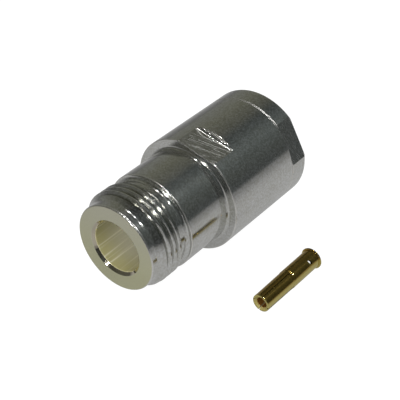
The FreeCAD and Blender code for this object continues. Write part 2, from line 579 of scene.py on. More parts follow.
@dataclass(frozen=True)
class BoreStainAndReflections(Mark):
    """Tarnish of the mating bore, of the bevel at its mouth and of the front face, and painted reflections as
    light streaks along the bore.

    rim_end, bevel_start, bevel_end and bore_start are shares of the mouth's rounding.
    """

    radius: float
    mouth_x: float
    mouth_round: float
    tint: Colour = (0.40, 0.37, 0.18)
    deep_tint: Colour = (0.47, 0.45, 0.33)
    deep_from: float = 0.5
    deep_to: float = 6.0
    # painted reflections: light streaks along the bore, and their colour
    reflection_streaks: Pattern = Pattern(7.0, 4.0, 0.75, 0.52, 0.72)
    reflection_streak_slope: float = 0.003
    reflection_streak_tint: Colour = (0.70, 0.68, 0.51)
    wall_from: float = 0.03
    wall_to: float = 0.10
    wall_metal: float = 0.25
    wall_rough: float = 0.28
    face_tint: Colour = (0.64, 0.635, 0.42)
    upper_tint: Colour = (0.64, 0.63, 0.50)
    face_from: float = 0.01
    face_to: float = 0.05
    rim_weight: float = 0.6
    rim_end: float = 1.3
    bevel_tint: Colour = (0.61, 0.56, 0.44)
    bevel_rough: float = -0.08
    bevel_start: float = 0.8
    bevel_end: float = 1.4
    bore_start: float = 0.7

    def put_on(self, graph: Graph, spot: Spot, skin: Skin) -> Skin:
        """Tarnish the face, then the bevel, then the bore, which also gets its painted reflections.

        Args:
            graph: the material's tree.
            spot: the point that is shaded.
            skin: the clean skin.

        Returns:
            The tarnished skin.
        """
        depth = graph.math("SUBTRACT", spot.x, self.mouth_x)
        upper = graph.spread(spot.z, -self.radius, 2 * self.radius)
        face_colour = graph.blend(upper, self.face_tint, self.upper_tint)
        bevel = self.on_bevel(graph, spot, depth)
        bore = self.in_bore(graph, spot, depth)
        colour = graph.blend(self.on_face(graph, spot, depth), skin.colour, face_colour)
        colour = graph.blend(bevel, colour, self.bevel_tint)
        colour = graph.blend(bore, colour, self.bore_colour(graph, spot, depth))
        rough = graph.math("MULTIPLY_ADD", bevel, self.bevel_rough, skin.rough)
        rough = graph.math("MULTIPLY_ADD", bore, self.wall_rough, rough)
        metal = graph.math("MULTIPLY_ADD", bore, self.wall_metal - 1.0, 1.0)
        return replace(skin, colour=colour, rough=rough, metal=graph.math("MINIMUM", skin.metal, metal))

    def on_face(self, graph: Graph, spot: Spot, depth: Socket) -> Socket:
        """Give where the front face is, with the rim of the mouth at less weight.

        Args:
            graph: the material's tree.
            spot: the point that is shaded.
            depth: how far behind the front face it is.

        Returns:
            A number from 0 to 1.
        """
        face = graph.spread(depth, self.face_from, self.face_to, 1.0, 0.0)
        rim_from = self.radius + self.mouth_round
        rim_to = self.radius + self.rim_end * self.mouth_round
        rim = graph.spread(spot.radius, rim_from, rim_to, self.rim_weight, 0.0)
        return graph.math("MAXIMUM", face, rim)

    def on_bevel(self, graph: Graph, spot: Spot, depth: Socket) -> Socket:
        """Give where the bevel of the mouth is.

        Args:
            graph: the material's tree.
            spot: the point that is shaded.
            depth: how far behind the front face it is.

        Returns:
            A number from 0 to 1.
        """
        bevel_from = self.radius + self.bevel_start * self.mouth_round
        bevel_to = self.radius + self.mouth_round
        near_axis = graph.spread(spot.radius, bevel_from, bevel_to, 1.0, 0.0)
        face_to = self.bevel_end * self.mouth_round
        near_face = graph.spread(depth, self.mouth_round, face_to, 1.0, 0.0)
        return graph.math("MULTIPLY", near_axis, near_face)

    def in_bore(self, graph: Graph, spot: Spot, depth: Socket) -> Socket:
        """Give where the bore is, behind its bevel.

        Args:
            graph: the material's tree.
            spot: the point that is shaded.
            depth: how far behind the front face it is.

        Returns:
            A number from 0 to 1.
        """
        wall_from = self.radius + self.wall_from
        wall_to = self.radius + self.wall_to
        inside = graph.spread(spot.radius, wall_from, wall_to, 1.0, 0.0)
        behind = graph.spread(depth, self.bore_start * self.mouth_round, self.mouth_round)
        return graph.math("MULTIPLY", inside, behind)

    def bore_colour(self, graph: Graph, spot: Spot, depth: Socket) -> Socket:
        """Give the bore's colour: yellow near its mouth, grey in its depth, with painted reflections as light
        streaks along it.

        Args:
            graph: the material's tree.
            spot: the point that is shaded.
            depth: how far behind the front face it is.

        Returns:
            The colour.
        """
        ring = graph.join_xyz(
            graph.math("MULTIPLY", spot.x, self.reflection_streak_slope),
            graph.math("DIVIDE", spot.y, spot.radius),
            graph.math("DIVIDE", spot.z, spot.radius),
        )
        colour = graph.blend(graph.spread(depth, self.deep_from, self.deep_to), self.tint, self.deep_tint)
        # painted reflections laid over the bore's tarnish as light streaks
        return graph.blend(self.reflection_streaks.mask(graph, ring), colour, self.reflection_streak_tint)


@dataclass(frozen=True)
class ContactShadeAndGroove(Mark):
    """Painted shade on the upper side of the lying contact, its ring groove and the painted shade of its
    socket.
    """

    # tint is painted shade on the contact's upper side
    tint: Colour
    tip_x: float
    groove_x: float
    lean_from: float = 0.28
    lean_to: float = 0.48
    tip_from: float = 0.04
    tip_to: float = 0.2
    groove_reach: float = 0.45
    groove_depth: float = 0.039
    bore: float = 0.84
    bore_from: float = 0.02
    bore_to: float = 0.08
    # painted shade inside the socket and on its lead-in
    bore_tint: Colour = (0.13, 0.055, 0.008)
    bore_metal: float = 0.2
    bore_rough: float = 0.4
    lead: float = 0.33
    lead_blend: float = 0.02
    lead_tint: Colour = (0.26, 0.22, 0.07)

    def put_on(self, graph: Graph, spot: Spot, skin: Skin) -> Skin:
        """Paint shade on the upper side, press the ring groove and paint shade into the socket.

        Args:
            graph: the material's tree.
            spot: the point that is shaded.
            skin: the plain gold.

        Returns:
            The gold with its painted shade and its groove.
        """
        lean = graph.spread(graph.math("DIVIDE", spot.z, spot.radius), self.lean_from, self.lean_to)
        behind = graph.spread(spot.x, self.tip_x + self.tip_from, self.tip_x + self.tip_to)
        # painted shade: the upper side is darkened towards tint
        colour = graph.blend(graph.math("MULTIPLY", lean, behind), skin.colour, self.tint)
        off = graph.math("ABSOLUTE", graph.math("SUBTRACT", spot.x, self.groove_x))
        groove = graph.spread(off, 0.0, self.groove_reach)
        mouth = self.bore + self.lead
        inside = graph.spread(spot.radius, mouth, mouth + self.lead_blend, 1.0, 0.0)
        on_lead = graph.spread(spot.radius, self.bore + self.bore_from, self.bore + self.bore_to)
        metal = graph.math("MULTIPLY_ADD", inside, self.bore_metal - 1.0, 1.0)
        return Skin(
            colour=graph.blend(inside, colour, graph.blend(on_lead, self.bore_tint, self.lead_tint)),
            rough=graph.math("MULTIPLY_ADD", inside, self.bore_rough, skin.rough),
            normal=graph.bump(groove, self.groove_depth, skin.normal),
            metal=graph.math("MINIMUM", skin.metal, metal),
        )


@dataclass(frozen=True)
class PlatedFinish:
    """Turned and plated metal with clouds of tarnish, turning lines, speckles, pits and its own marks."""

    name: str
    tint: Colour
    tarnish: Colour
    gloss: float = 0.14
    gloss_swing: float = 0.04
    clouds: Pattern = Pattern(0.33, 4.0, 0.6, 0.42, 0.68)
    cloud_share: float = 0.35
    rings: Pattern = Pattern(1.9, 4.0, 0.8, 0.40, 0.70)
    ring_stretch: float = 0.3
    ring_share: float = 0.22
    dots: Pattern = Pattern(3.4, 2.0, 0.7, 0.36, 0.66)
    light_dot: Colour = (0.88, 0.92, 0.97)
    dark_dot: Colour = (0.44, 0.44, 0.40)
    dot_share: float = 0.28
    dull_share: float = 0.025
    worn_tint: Colour = (0.80, 0.79, 0.76)
    worn_rough: float = 0.12
    pits: Pattern = Pattern(3.1, 1.0, 0.4, 0.735, 0.775)
    pit_share: float = 0.5
    pit_shade: float = 0.25
    pit_rough: float = 0.25
    wander: Pattern = Pattern(0.6, 1.0)
    wander_reach: float = 0.25
    lines: Pattern = Pattern(9.0, 5.0, 0.75)
    line_rise: float = 0.0008
    grain: Pattern = Pattern(3.4, 3.0, 0.8)
    grain_rise: float = 0.0015
    waves: Pattern = Pattern(0.8)
    wave_rise: float = 0.0018
    marks: tuple[Mark, ...] = ()
    stance: Stance = Stance()

    def build(self) -> bpy.types.Material:
        """Make the material.

        Returns:
            The material, with every pattern on Object coordinates.
        """
        material = bpy.data.materials.new(self.name)
        material.use_nodes = True
        graph = Graph(material.node_tree)
        spot = self.stance.spot(graph)
        skin = self.plate(graph, spot)
        for mark in self.marks:
            skin = mark.put_on(graph, spot, skin)
        skin.shade(graph)
        return material

    def plate(self, graph: Graph, spot: Spot) -> Skin:
        """Give the plating by itself.

        Args:
            graph: the material's tree.
            spot: the point that is shaded.

        Returns:
            The skin without marks.
        """
        worn = graph.add("ShaderNodeAttribute", attribute_name=WORN).outputs["Fac"]
        clouds = self.clouds.noise(graph, spot.place)
        share = graph.math("MULTIPLY", self.clouds.window(graph, clouds), self.cloud_share)
        colour = graph.blend(share, self.tint, self.tarnish)
        turned = graph.join_xyz(spot.x, graph.math("MULTIPLY", spot.radius, self.ring_stretch), 0.0)
        share = graph.math("MULTIPLY", self.rings.mask(graph, turned), self.ring_share)
        colour = graph.blend(share, colour, self.worn_tint)
        dots = self.dots.mask(graph, spot.place)
        colour = graph.blend(self.dot_share, colour, graph.blend(dots, self.dark_dot, self.light_dot))
        colour = graph.blend(worn, colour, self.worn_tint)
        pit = graph.math("MULTIPLY", self.pits.mask(graph, spot.place), self.pit_share)
        colour = graph.blend(pit, colour, tuple(self.pit_shade * part for part in self.tarnish))
        rough = graph.math("MULTIPLY_ADD", clouds, 2 * self.gloss_swing, self.gloss - self.gloss_swing)
        rough = graph.math("MULTIPLY_ADD", pit, self.pit_rough, rough)
        rough = graph.math("MULTIPLY_ADD", worn, self.worn_rough, rough)
        metal = graph.math("MULTIPLY_ADD", dots, -self.dull_share, 1.0)
        return Skin(colour, rough, self.relief(graph, spot), metal)

    def relief(self, graph: Graph, spot: Spot) -> Socket:
        """Give the normal of the fine rings left by turning, with a light grain and waves over them.

        Args:
            graph: the material's tree.
            spot: the point that is shaded.

        Returns:
            The normal.
        """
        wander = self.wander.noise(graph, spot.place)
        along = graph.math("MULTIPLY_ADD", wander, self.wander_reach, spot.x)
        lines = self.lines.noise(graph, graph.join_xyz(along, spot.radius, 0.0))
        normal = graph.bump(lines, self.line_rise)
        normal = graph.bump(self.grain.noise(graph, spot.place), self.grain_rise, normal)
        return graph.bump(self.waves.noise(graph, spot.place), self.wave_rise, normal)


@dataclass(frozen=True)
class MouldedFinish:
    """Plastic or rubber with a fine grain and faint clouds."""

    name: str
    colour: Colour
    shade: Colour
    gloss: float
    grain: Pattern
    grain_rise: float
    glow: float = 0.0
    glow_depth: float = 0.4
    grain_rough: float = 0.12
    clouds: Pattern = Pattern(0.7, 3.0, 0.5, 0.35, 0.7)

    def build(self) -> bpy.types.Material:
        """Make the material.

        Returns:
            The material.
        """
        material = bpy.data.materials.new(self.name)
        material.use_nodes = True
        graph = Graph(material.node_tree)
        place = Stance().millimetres(graph)
        grain = self.grain.noise(graph, place)
        colour = graph.blend(self.clouds.mask(graph, place), self.colour, self.shade)
        rough = graph.math("MULTIPLY_ADD", grain, self.grain_rough, self.gloss)
        shader = graph.add("ShaderNodeBsdfPrincipled")
        graph.feed(shader.inputs["Base Color"], colour)
        graph.feed(shader.inputs["Roughness"], rough)
        graph.feed(shader.inputs["Normal"], graph.bump(grain, self.grain_rise))
        shader.inputs["Subsurface Weight"].default_value = self.glow
        shader.inputs["Subsurface Scale"].default_value = self.glow_depth * MM
        output = graph.add("ShaderNodeOutputMaterial")
        graph.feed(output.inputs[0], shader.outputs[0])
        return material


@dataclass(frozen=True)
class Corner:
    """One corner of a turned outline."""

    x: float
    radius: float
    fillet: float = 0.0


@dataclass(frozen=True)
class Flats:
    """A pair of wrench flats on a round section, turned by so many degrees from up towards -Y.

    The cutter leaves a bevel at the start, and before the stop a quarter round with run_out as its radius.
    """

    start: float
    stop: float
    half_width: float
    turn: float
    front_bevel: float = 0.0
    run_out: float = 0.0

    def level(self, x: float) -> float:
        """Give half the width across the flats at a place.

        Args:
            x: place along the axis.

        Returns:
            The half width, less at the bevel in front and more in the cutter's run-out behind.
        """
        level = self.half_width - max(0.0, self.front_bevel - (x - self.start))
        reach = x - (self.stop - self.run_out)
        if reach > 0.0 and self.run_out > 0.0:
            level += self.run_out - math.sqrt(max(self.run_out**2 - reach**2, 0.0))
        return level

    def cuts(self, x: float, radius: float) -> bool:
        """Tell whether a ring meets the flats.

        Args:
            x: the ring's place along the axis.
            radius: its radius.

        Returns:
            Whether the flats take something off it.
        """
        return self.start - WELD <= x <= self.stop + WELD and radius > self.level(x)

    def radius(self, x: float, radius: float, angle: float) -> float:
        """Give the radius left by the flats.

        Args:
            x: place along the axis.
            radius: radius of the round section there.
            angle: radians about the axis from up.

        Returns:
            The radius at that angle.
        """
        cosine = abs(math.cos(angle - math.radians(self.turn)))
        return min(radius, self.level(x) / max(cosine, LEAST_COSINE))

    def columns(self, x: float, radius: float) -> list[float]:
        """Give a ring's angles, the nearest ones moved onto the edges between flat and round.

        Args:
            x: the ring's place along the axis.
            radius: its radius.

        Returns:
            The angles in radians.
        """
        angles = [math.tau * column / COLUMNS for column in range(COLUMNS)]
        half = math.acos(min(self.level(x) / radius, 1.0))
        turn = math.radians(self.turn)
        if half > NARROW_FLAT * math.tau / COLUMNS:
            for edge in (turn + side + sign * half for side in (0.0, math.pi) for sign in (-1, 1)):
                angles[round(edge % math.tau / math.tau * COLUMNS) % COLUMNS] = edge
        return angles

    def holds(self, centre: Vector, normal: Vector, full_radius: float) -> bool:
        """Tell whether a face was cut by the milling cutter.

        Args:
            centre: the face's middle.
            normal: its direction.
            full_radius: radius of the round section.

        Returns:
            Whether it lies on a flat or in the cutter's run-out.
        """
        turn = math.radians(self.turn)
        outward = Vector((0.0, -math.sin(turn), math.cos(turn)))
        off = abs(abs(centre.dot(outward)) - self.half_width)
        on_flat = abs(normal.dot(outward)) > FLAT_COSINE and off < FLAT_SLACK
        behind = self.stop - self.run_out < centre.x < self.stop
        return on_flat or (behind and math.hypot(centre.y, centre.z) < full_radius - ROUND_SLACK)

    def bright(self, x: float, distance: float, full_radius: float) -> bool:
        """Tell whether a face is rubbed bright, at the bevel in front or at the wall behind.

        Args:
            x: the face's place along the axis.
            distance: its distance from the axis.
            full_radius: radius of the round section.

        Returns:
            Whether it is.
        """
        in_front = self.start < x < self.start + self.front_bevel
        at_wall = abs(x - self.stop) < self.run_out * WALL_SHARE
        on_bevel = in_front and distance < full_radius - self.front_bevel
        return on_bevel or (at_wall and distance < full_radius - ROUND_SLACK)


class Outline:
    """The outline of a turned piece, as rings from corner to corner."""

    def __init__(self, corners: Sequence[Corner]) -> None:
        """Sample the corners and their fillets.

        Args:
            corners: corners in order. The first and the last have no fillet.
        """
        self.rings: list[tuple[float, float]] = []
        for index, corner in enumerate(corners):
            if corner.fillet <= 0.0:
                self.put(corner.x, corner.radius)
                continue
            self.round_off(corners[index - 1], corner, corners[index + 1])

    def put(self, x: float, radius: float) -> None:
        """Add a ring, with plain rings at both ends of a long straight stretch.

        Args:
            x: place along the axis.
            radius: the ring's radius.
        """
        if self.rings:
            last_x, last_radius = self.rings[-1]
            length = math.hypot(x - last_x, radius - last_radius)
            if length > LONG_STRETCH * SUPPORT:
                step = SUPPORT / length
                for share in (step, 1 - step):
                    between = last_radius + (radius - last_radius) * share
                    self.rings.append((last_x + (x - last_x) * share, between))
        self.rings.append((x, radius))

    def round_off(self, before: Corner, corner: Corner, after: Corner) -> None:
        """Add the rings of a fillet.

        Args:
            before: the corner before.
            corner: the rounded corner.
            after: the corner after.
        """
        here = Vector((corner.x, corner.radius))
        back = (Vector((before.x, before.radius)) - here).normalized()
        ahead = (Vector((after.x, after.radius)) - here).normalized()
        half = back.angle(ahead) / 2
        reach = corner.fillet / math.tan(half)
        inward = (back + ahead).normalized()
        centre = here + inward * math.hypot(corner.fillet, reach)
        first = here + back * reach - centre
        sweep = math.pi - 2 * half
        sign = 1.0 if back.x * ahead.y - back.y * ahead.x < 0 else -1.0
        steps = max(2, math.ceil(math.degrees(sweep) / ARC_STEP))
        for step in range(steps + 1):
            spoke = Matrix.Rotation(sign * sweep * step / steps, 2) @ first
            self.put(centre.x + spoke.x, centre.y + spoke.y)


class TurnedMesh:
    """Open mesh of revolution about the connector's axis, with wrench flats cut into its rings."""

    def __init__(self, rings: Sequence[tuple[float, float]], flats: Flats) -> None:
        """Make the points and the faces.

        Args:
            rings: places along the axis with their radii, in order.
            flats: the piece's wrench flats.
        """
        self.points: list[Place] = []
        self.faces: list[tuple[int, int, int, int]] = []
        plain = [math.tau * column / COLUMNS for column in range(COLUMNS)]
        for x, radius in rings:
            if flats.cuts(x, radius):
                self.points += [
                    around(x, flats.radius(x, radius, angle), angle) for angle in flats.columns(x, radius)
                ]
            else:
                self.points += [around(x, radius, angle) for angle in plain]
        for ring in range(len(rings) - 1):
            for column in range(COLUMNS):
                beside = (column + 1) % COLUMNS
                corners = ((ring, column), (ring, beside), (ring + 1, beside), (ring + 1, column))
                self.faces.append(tuple(row * COLUMNS + place for row, place in corners))

    def link(self, name: str) -> bpy.types.Object:
        """Put the mesh into the scene.

        Args:
            name: the object's name.

        Returns:
            The new object, at the origin.
        """
        mesh = bpy.data.meshes.new(name)
        mesh.from_pydata([tuple(value * MM for value in point) for point in self.points], [], self.faces)
        item = bpy.data.objects.new(name, mesh)
        bpy.context.scene.collection.objects.link(item)
        return item


def around(x: float, radius: float, angle: float) -> Place:
    """Give the point at a radius and an angle about the axis.

    Args:
        x: place along the axis.
        radius: distance from the axis.
        angle: radians about the axis from up, turning towards -Y.

    Returns:
        The point.
    """
    return x, -radius * math.sin(angle), radius * math.cos(angle)


@dataclass(frozen=True)
class Thread:
    """An outside screw thread between two places on a turned piece.

    In front it grows out of a cone that leaves foot_radius at foot_x, and at its stop it runs down a cone
    to end_radius. crest_at_top is where a crest passes the top, crest_share the part of the pitch that
    the crest's land takes, and rows the mesh rows of one pitch.
    """

    start: float
    stop: float
    pitch: float
    crest_radius: float
    root_radius: float
    crest_at_top: float
    foot_x: float
    foot_radius: float
    lead_slope: float
    end_radius: float
    end_slope: float
    crest_share: float
    root_blend: float
    foot_blend: float
    rows: int
    flank_slope: float = math.sqrt(3.0)

    def inputs(self) -> dict[str, float]:
        """Give the values of the tree's named inputs, in metres where they are lengths.

        Returns:
            The values by name.
        """
        return {
            "Start": self.start * MM,
            "Stop": self.stop * MM,
            "Pitch": self.pitch * MM,
            "Crest Radius": self.crest_radius * MM,
            "Root Radius": self.root_radius * MM,
            "Crest At Top": self.crest_at_top * MM,
            "Foot": self.foot_x * MM,
            "Foot Radius": self.foot_radius * MM,
            "Lead Slope": self.lead_slope,
            "End Radius": self.end_radius * MM,
            "End Slope": self.end_slope,
            "Half Crest": self.crest_share * self.pitch / 2 * MM,
            "Flank Slope": self.flank_slope,
            "Root Blend": self.root_blend * MM,
            "Foot Blend": self.foot_blend * MM,
        }

    def tree(self, name: str) -> bpy.types.NodeTree:
        """Make the Geometry Nodes tree that winds the thread and welds it to the piece.

        Args:
            name: the tree's name.

        Returns:
            The tree.
        """
        tree = bpy.data.node_groups.new(name, "GeometryNodeTree")
        tree.interface.new_socket("Geometry", in_out="INPUT", socket_type="NodeSocketGeometry")
        for label in self.inputs():
            tree.interface.new_socket(label, in_out="INPUT", socket_type="NodeSocketFloat")
        tree.interface.new_socket("Material", in_out="INPUT", socket_type="NodeSocketMaterial")
        tree.interface.new_socket("Geometry", in_out="OUTPUT", socket_type="NodeSocketGeometry")
        graph = Graph(tree)
        given = graph.add("NodeGroupInput").outputs
        joined = graph.add("GeometryNodeJoinGeometry")
        graph.feed(joined.inputs[0], given["Geometry"])
        graph.feed(joined.inputs[0], self.sheet(graph, given))
        welded = graph.add("GeometryNodeMergeByDistance")
        graph.feed(welded.inputs["Geometry"], joined.outputs[0])
        graph.feed(welded.inputs["Distance"], WELD * MM)
        real = graph.add("GeometryNodeRealizeInstances")
        graph.feed(real.inputs[0], welded.outputs[0])
        dressed = graph.add("GeometryNodeSetMaterial")
        graph.feed(dressed.inputs["Geometry"], real.outputs[0])
        graph.feed(dressed.inputs["Material"], given["Material"])
        graph.feed(graph.add("NodeGroupOutput").inputs[0], dressed.outputs[0])
        return tree

    def sheet(self, graph: Graph, given: bpy.types.bpy_prop_collection) -> Socket:
        """Wind a grid about the axis, so that its rows follow the thread, and hold it between start and stop.

        Args:
            graph: the tree.
            given: the group's inputs.

        Returns:
            The thread's surface.
        """
        turns = math.ceil((self.stop - self.start) / self.pitch) + 1
        grid = graph.add("GeometryNodeMeshGrid")
        for label, value in zip(("Size X", "Size Y"), (1.0, 1.0)):
            graph.feed(grid.inputs[label], value)
        graph.feed(grid.inputs["Vertices X"], turns * self.rows + 1)
        graph.feed(grid.inputs["Vertices Y"], COLUMNS + 1)
        across, about, _ = graph.split_xyz(graph.add("GeometryNodeInputPosition").outputs[0])
        turned = graph.math("ADD", about, 0.5)
        wound = graph.math("MULTIPLY_ADD", across, float(turns), turns / 2 - 1.0)
        free = graph.math("MULTIPLY_ADD", graph.math("ADD", wound, turned), given["Pitch"], given["Start"])
        x = graph.math("MINIMUM", graph.math("MAXIMUM", free, given["Start"]), given["Stop"])
        radius = self.radius(graph, given, x, turned)
        angle = graph.math("MULTIPLY", turned, math.tau)
        y = graph.math("MULTIPLY", graph.math("MULTIPLY", radius, graph.math("SINE", angle)), -1.0)
        z = graph.math("MULTIPLY", radius, graph.math("COSINE", angle))
        moved = graph.add("GeometryNodeSetPosition")
        graph.feed(moved.inputs["Geometry"], grid.outputs["Mesh"])
        graph.feed(moved.inputs["Position"], graph.join_xyz(x, y, z))
        return moved.outputs[0]

    @staticmethod
    def radius(graph: Graph, given: bpy.types.bpy_prop_collection, x: Socket, turned: Socket) -> Socket:
        """Give the thread's radius at a place and an angle.

        Args:
            graph: the tree.
            given: the group's inputs.
            x: place along the axis.
            turned: share of a turn about the axis.

        Returns:
            The radius.
        """
        wound = graph.math("DIVIDE", graph.math("SUBTRACT", x, given["Crest At Top"]), given["Pitch"])
        phase = graph.math("SUBTRACT", wound, turned)
        off = graph.math("ABSOLUTE", graph.math("SUBTRACT", phase, graph.math("ROUND", phase)))
        beside = graph.math("SUBTRACT", graph.math("MULTIPLY", off, given["Pitch"]), given["Half Crest"])
        drop = graph.math("MULTIPLY", beside, given["Flank Slope"])
        flank = graph.math("SUBTRACT", given["Crest Radius"], drop)
        ridge = graph.math("MINIMUM", flank, given["Crest Radius"])
        ridge = graph.math("SMOOTH_MAX", ridge, given["Root Radius"], given["Root Blend"])
        past_foot = graph.math("SUBTRACT", x, given["Foot"])
        lead = graph.math("MULTIPLY_ADD", past_foot, given["Lead Slope"], given["Foot Radius"])
        lead = graph.math("SMOOTH_MAX", lead, given["Foot Radius"], given["Foot Blend"])
        to_stop = graph.math("SUBTRACT", given["Stop"], x)
        end = graph.math("MULTIPLY_ADD", to_stop, given["End Slope"], given["End Radius"])
        return graph.math("MINIMUM", graph.math("MINIMUM", ridge, lead), end)

    def wind(self, piece: bpy.types.Object, material: bpy.types.Material) -> bpy.types.Object:
        """Wind the thread on a piece and turn the result into a plain mesh.

        Args:
            piece: the piece, open where the thread goes.
            material: the finish.

        Returns:
            The same piece with its final mesh.
        """
        modifier = piece.modifiers.new("thread", "NODES")
        modifier.node_group = self.tree(piece.name + "_thread")
        sockets = {
            item.name: item.identifier
            for item in modifier.node_group.interface.items_tree
            if item.in_out == "INPUT"
        }
        for label, value in self.inputs().items():
            modifier[sockets[label]] = value
        modifier[sockets["Material"]] = material
        graph = bpy.context.evaluated_depsgraph_get()
        mesh = bpy.data.meshes.new_from_object(piece.evaluated_get(graph))
        piece.modifiers.clear()
        piece.data = mesh
        return piece


@dataclass(frozen=True)
class WornEdge:
    """An outside edge that is rubbed bright, as far as its reach."""

    x: float
    radius: float
    reach: float = 0.22

    def holds(self, x: float, radius: float) -> bool:
        """Tell whether a place lies on the edge.

        Args:
            x: place along the axis.
            radius: distance from the axis.

        Returns:
            Whether it does.
        """
        return abs(x - self.x) < self.reach and abs(radius - self.radius) < self.reach


def finish_mesh(
    piece: bpy.types.Object,
    flats: Flats,
    full_radius: float,
    worn: Sequence[WornEdge],
    material: bpy.types.Material,
) -> None:
    """Turn the faces outwards, mark milled and worn faces and set the shading.

    Args:
        piece: the piece with its final shape.
        flats: its wrench flats.
        full_radius: radius of the round section that carries the flats.
        worn: its bright edges.
        material: its finish.
    """
    mesh = bmesh.new()
    mesh.from_mesh(piece.data)
    bmesh.ops.remove_doubles(mesh, verts=mesh.verts, dist=WELD * MM)
    bmesh.ops.dissolve_degenerate(mesh, edges=mesh.edges, dist=SLIVER * MM)
    bmesh.ops.recalc_face_normals(mesh, faces=mesh.faces)
    milled = mesh.faces.layers.float.new(MILLED)
    rubbed = mesh.faces.layers.float.new(WORN)
    for face in mesh.faces:
        face.smooth = True
        face.material_index = 0
        centre = face.calc_center_median() / MM
        face[milled] = float(flats.holds(centre, face.normal, full_radius))
        distance = math.hypot(centre.y, centre.z)
        on_edge = any(edge.holds(centre.x, distance) for edge in worn)
        face[rubbed] = float(on_edge or flats.bright(centre.x, distance, full_radius))
    for edge in mesh.edges:
        if len(edge.link_faces) == 2:
            first, second = (face[milled] > 0.5 for face in edge.link_faces)
            limit = SHARP_AT_FLAT if first != second else SHARP
            edge.smooth = edge.calc_face_angle(0.0) < math.radians(limit)
    mesh.to_mesh(piece.data)
    mesh.free()
    piece.data.materials.clear()
    piece.data.materials.append(material)


@dataclass(frozen=True)
class Bar:
    """Sizes that the body and the nut share."""

    radius: float = 9.525
    across_flats: float = 17.7
    pitch: float = 25.4 / 24.0
    seam_chamfer: float = 0.18
    thread_depth: float = 0.65


